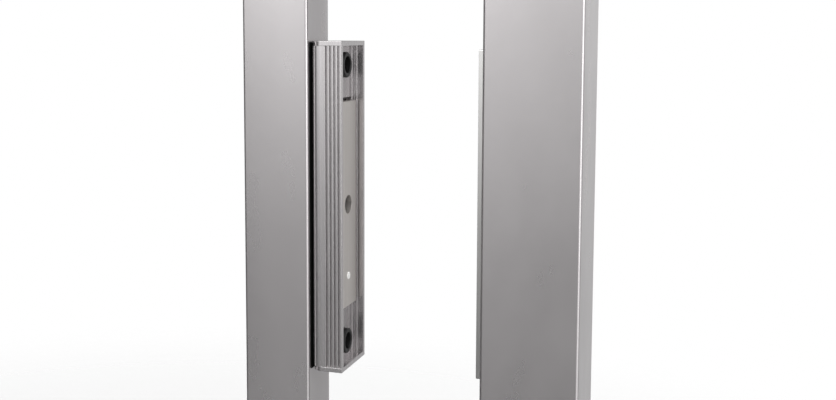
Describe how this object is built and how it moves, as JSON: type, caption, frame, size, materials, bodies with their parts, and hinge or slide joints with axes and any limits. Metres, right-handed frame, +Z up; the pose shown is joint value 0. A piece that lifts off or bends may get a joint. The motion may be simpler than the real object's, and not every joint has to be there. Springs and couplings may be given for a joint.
{
  "type": "sliding security gate",
  "caption": "Sliding security gate closure: a wheeled steel upright with a ribbed armature housing rolls up to a fixed post with a recessed electromagnet.",
  "frame": {"origin": "centre of the lock post's base plate, on its underside at floor level", "axes": "+Z up, +X from the gate upright towards the lock post (closing direction), -Y to the front"},
  "size_m": [1.0791, 0.14, 1],
  "materials": {
    "powder_coated_tube": "fine satin powder coat, light grey",
    "anodised_aluminium": "satin anodised",
    "black_rubber": "matt",
    "black_plastic": "matt",
    "white_plastic": "satin",
    "nickel_plated_steel": "ground and nickel plated",
    "stainless_steel": "brushed",
    "zinc_plated_steel": "zinc plated",
    "black_oxide_steel": "black oxide",
    "soft_iron": "ground",
    "copper_winding": "enamelled wire",
    "black_resin": "cast, satin",
    "circuit_board": "green solder mask",
    "green_plastic": "moulded",
    "nylon": "turned",
    "bronze": "sintered"
  },
  "bodies": {
    "post": {"lock_post": "powder_coated_tube", "post_top_cap": "powder_coated_tube", "post_base_plate": "powder_coated_tube", "cable_grommet": "black_rubber", "magnet_face_plate": "stainless_steel", "magnet_core": "soft_iron", "magnet_coil": "copper_winding", "magnet_resin": "black_resin", "magnet_case": "anodised_aluminium", "face_plate_screws": "zinc_plated_steel", "post_rivet_nuts": "zinc_plated_steel", "control_board": "circuit_board", "board_spacers": "nylon", "terminal_block": "green_plastic", "bond_sensor": "black_plastic", "floor_track": "zinc_plated_steel", "track_end_stop": "zinc_plated_steel", "stop_buffer": "black_rubber"},
    "gate": {"gate_upright": "powder_coated_tube", "upright_top_cap": "powder_coated_tube", "upright_foot": "powder_coated_tube", "foot_screws": "black_oxide_steel", "carriage_frame": "zinc_plated_steel", "roller_axles": "zinc_plated_steel", "axle_nuts": "zinc_plated_steel", "axle_spacers": "zinc_plated_steel", "lock_housing": "anodised_aluminium", "housing_top_cap": "anodised_aluminium", "housing_bottom_cap": "anodised_aluminium", "end_cap_screws": "zinc_plated_steel", "housing_gasket": "black_rubber", "upper_fixing_collar": "black_plastic", "lower_fixing_collar": "black_plastic", "housing_bolts": "black_oxide_steel", "upright_rivet_nuts": "zinc_plated_steel", "armature_screw": "black_oxide_steel", "rubber_washer": "black_rubber", "guide_pins": "zinc_plated_steel"},
    "front_wheel": {"front_roller": "nylon", "front_roller_bush": "bronze"},
    "rear_wheel": {"rear_roller": "nylon", "rear_roller_bush": "bronze"},
    "armature": {"armature_plate": "nickel_plated_steel", "release_spring": "stainless_steel", "release_plug": "zinc_plated_steel"},
    "release_button": {"release_pin": "white_plastic"}
  },
  "joints": [
    {"name": "gate_slide", "type": "slide", "parent": "post", "child": "gate", "axis": [1, 0, 0], "range_m": [-0.5686, 0.1191]},
    {"name": "front_wheel_spin", "type": "hinge", "parent": "gate", "child": "front_wheel", "pos_m": [-0.2325, -0.015, 0.0398], "axis": [0, 1, 0], "continuous": true},
    {"name": "rear_wheel_spin", "type": "hinge", "parent": "gate", "child": "rear_wheel", "pos_m": [-0.3785, -0.015, 0.0398], "axis": [0, 1, 0], "continuous": true},
    {"name": "armature_tilt", "type": "hinge", "parent": "gate", "child": "armature", "pos_m": [-0.1712, -0.0075, 0.55], "axis": [0, 1, 0], "range_deg": [-0.5, 0.5], "stiffness_Nm_per_rad": 20},
    {"name": "release_press", "type": "slide", "parent": "armature", "child": "release_button", "axis": [-1, 0, 0], "range_m": [0, 0.0007], "stiffness_N_per_m": 800, "springref_m": -0.0008, "deforming": ["release_spring"]}
  ],
  "couplings": [
    {"joint": "front_wheel_spin", "follows": "gate_slide", "rad_per_m": 42.017},
    {"joint": "rear_wheel_spin", "follows": "gate_slide", "rad_per_m": 42.017}
  ]
}
